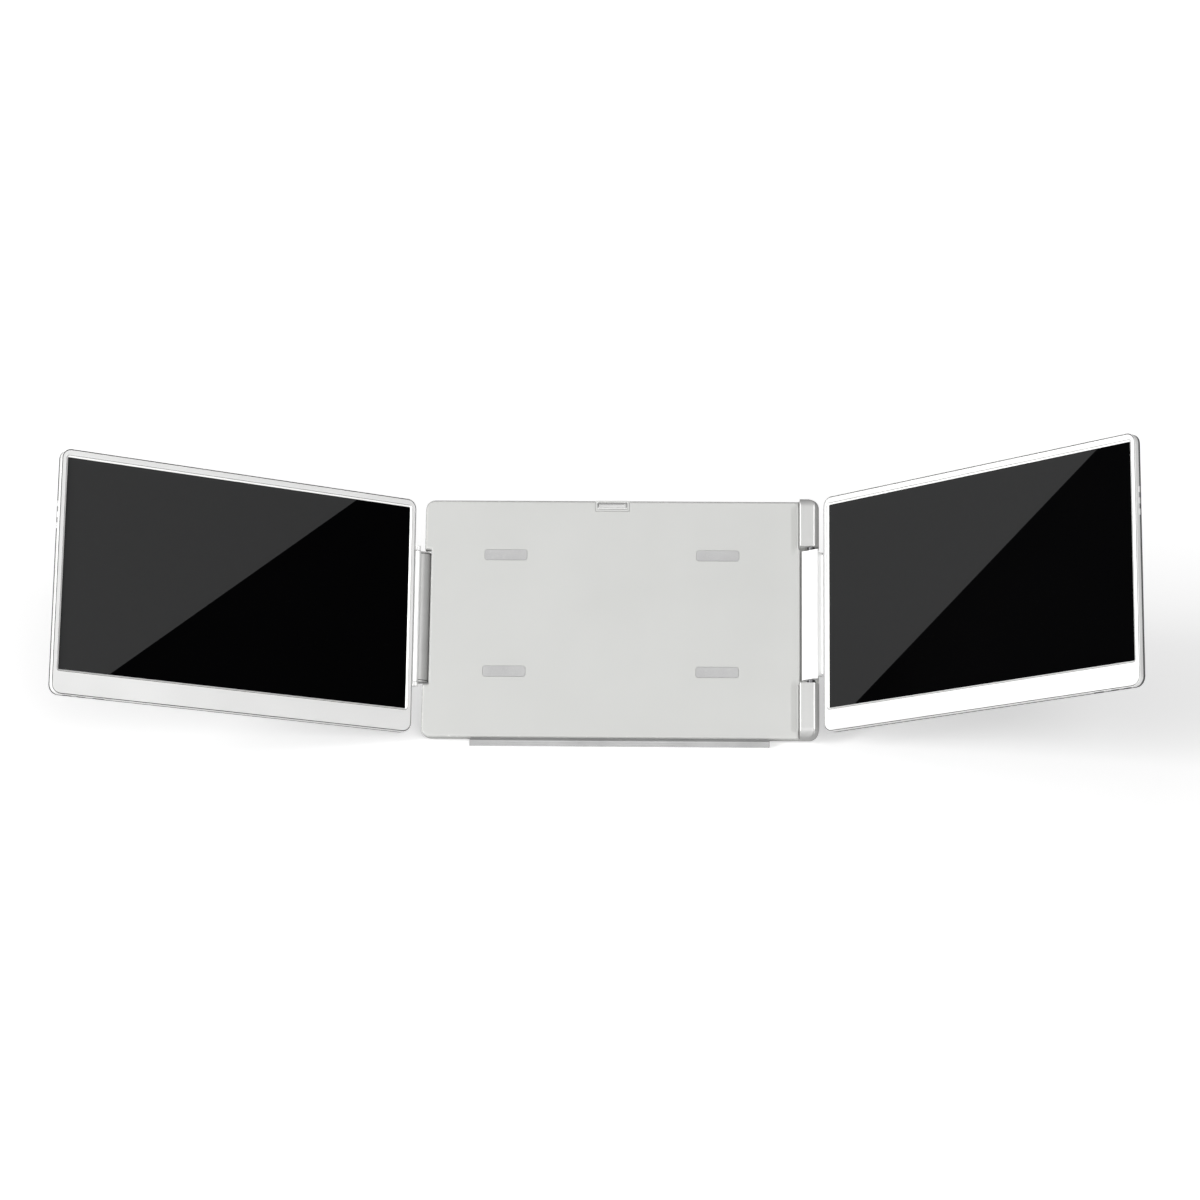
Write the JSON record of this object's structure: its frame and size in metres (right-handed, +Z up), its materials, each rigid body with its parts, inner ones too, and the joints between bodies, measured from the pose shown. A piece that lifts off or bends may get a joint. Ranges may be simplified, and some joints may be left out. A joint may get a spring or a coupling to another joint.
{
  "type": "laptop screen extender",
  "caption": "Leaning centre panel with a kickstand, a fold-out top clip and a flat screen hinged to each side, made to stand behind a laptop as extra displays.",
  "frame": {"origin": "centre of the foot strip's face on the table", "axes": "+X to the right, seen from the user; -Y towards the user; +Z up"},
  "size_m": [0.9569, 0.3433, 0.3236],
  "materials": {
    "panel_silver": "fine pearl silver paint, satin",
    "screen_silver": "pale silver paint, satin",
    "shell_grey": "fine-textured graphite moulding",
    "grey_rubber": "matte",
    "hinge_grey": "satin grey metal",
    "steel": "plated",
    "dark_steel": "black oxide",
    "stand_aluminium": "bead-blasted, anodised",
    "rubber": "matte",
    "display_glass": "glossy dark cover glass",
    "display_cell": "dark liquid-crystal cell",
    "light_guide": "clear acrylic with white diffuser",
    "circuit_board": "solder mask",
    "speaker_black": "moulded"
  },
  "bodies": {
    "centre_panel": {"panel_front_cover": "panel_silver", "panel_back_cover": "panel_silver", "panel_stiffener": "steel", "panel_screws": "dark_steel", "lid_pads": "grey_rubber", "upper_hinge_boss": "panel_silver", "lower_hinge_boss": "panel_silver", "boss_screws": "dark_steel", "foot_strip": "grey_rubber", "left_hinge_arm": "hinge_grey", "left_hinge_pin": "steel", "left_hinge_washers": "dark_steel", "right_hinge_pin": "steel", "right_hinge_washers": "dark_steel", "kickstand_pin": "steel", "kickstand_brackets": "steel", "clip_rails": "steel", "clip_retainer": "steel"},
    "left_screen": {"left_hinge_knuckles": "screen_silver", "left_front_frame": "screen_silver", "left_cover_glass": "display_glass", "left_lcd_cell": "display_cell", "left_backlight": "light_guide", "left_carrier": "stand_aluminium", "left_rear_shell": "shell_grey", "left_driver_board": "circuit_board", "left_port_board": "circuit_board", "left_button_board": "circuit_board", "left_usb_sockets": "steel", "left_hdmi_socket": "steel", "left_speakers": "speaker_black", "left_case_screws": "dark_steel"},
    "right_screen": {"right_hinge_leaf": "screen_silver", "right_front_frame": "screen_silver", "right_cover_glass": "display_glass", "right_lcd_cell": "display_cell", "right_backlight": "light_guide", "right_carrier": "stand_aluminium", "right_rear_shell": "shell_grey", "right_driver_board": "circuit_board", "right_port_board": "circuit_board", "right_button_board": "circuit_board", "right_usb_sockets": "steel", "right_hdmi_socket": "steel", "right_speakers": "speaker_black", "right_case_screws": "dark_steel"},
    "kickstand": {"kickstand_plate": "stand_aluminium", "kickstand_foot": "rubber"},
    "clip": {"clip_tab": "panel_silver", "clip_hook_pin": "dark_steel"},
    "clip_hook": {"clip_hook": "hinge_grey"},
    "left_power_button": {"left_power_button": "screen_silver"},
    "left_plus_button": {"left_plus_button": "screen_silver"},
    "left_minus_button": {"left_minus_button": "screen_silver"},
    "right_power_button": {"right_power_button": "screen_silver"},
    "right_plus_button": {"right_plus_button": "screen_silver"},
    "right_minus_button": {"right_minus_button": "screen_silver"}
  },
  "joints": [
    {"name": "left_screen_hinge", "type": "hinge", "parent": "centre_panel", "child": "left_screen", "pos_m": [-0.1923, 0.04608, 0.10976], "axis": [0, 0.4384, 0.8988], "range_deg": [-52, 148]},
    {"name": "right_screen_hinge", "type": "hinge", "parent": "centre_panel", "child": "right_screen", "pos_m": [0.1785, 0.03915, 0.11314], "axis": [0, -0.4384, -0.8988], "range_deg": [-63, 137]},
    {"name": "kickstand_hinge", "type": "hinge", "parent": "centre_panel", "child": "kickstand", "pos_m": [0, 0.06661, 0.12745], "axis": [1, 0, 0], "range_deg": [-43.98, 0]},
    {"name": "clip_slide", "type": "slide", "parent": "centre_panel", "child": "clip", "axis": [0, 0.4384, 0.8988], "range_m": [0, 0.022]},
    {"name": "clip_hook_flip", "type": "hinge", "parent": "clip", "child": "clip_hook", "pos_m": [-0.0091, 0.09644, 0.20869], "axis": [-1, 0, 0], "range_deg": [0, 90]},
    {"name": "left_power_press", "type": "slide", "parent": "left_screen", "child": "left_power_button", "axis": [0.848, 0.4763, -0.2323], "range_m": [0, 0.0008], "stiffness_N_per_m": 600},
    {"name": "left_plus_press", "type": "slide", "parent": "left_screen", "child": "left_plus_button", "axis": [0.848, 0.4763, -0.2323], "range_m": [0, 0.0008], "stiffness_N_per_m": 600},
    {"name": "left_minus_press", "type": "slide", "parent": "left_screen", "child": "left_minus_button", "axis": [0.848, 0.4763, -0.2323], "range_m": [0, 0.0008], "stiffness_N_per_m": 600},
    {"name": "right_power_press", "type": "slide", "parent": "right_screen", "child": "right_power_button", "axis": [-0.7314, 0.613, -0.299], "range_m": [0, 0.0008], "stiffness_N_per_m": 600},
    {"name": "right_plus_press", "type": "slide", "parent": "right_screen", "child": "right_plus_button", "axis": [-0.7314, 0.613, -0.299], "range_m": [0, 0.0008], "stiffness_N_per_m": 600},
    {"name": "right_minus_press", "type": "slide", "parent": "right_screen", "child": "right_minus_button", "axis": [-0.7314, 0.613, -0.299], "range_m": [0, 0.0008], "stiffness_N_per_m": 600}
  ]
}
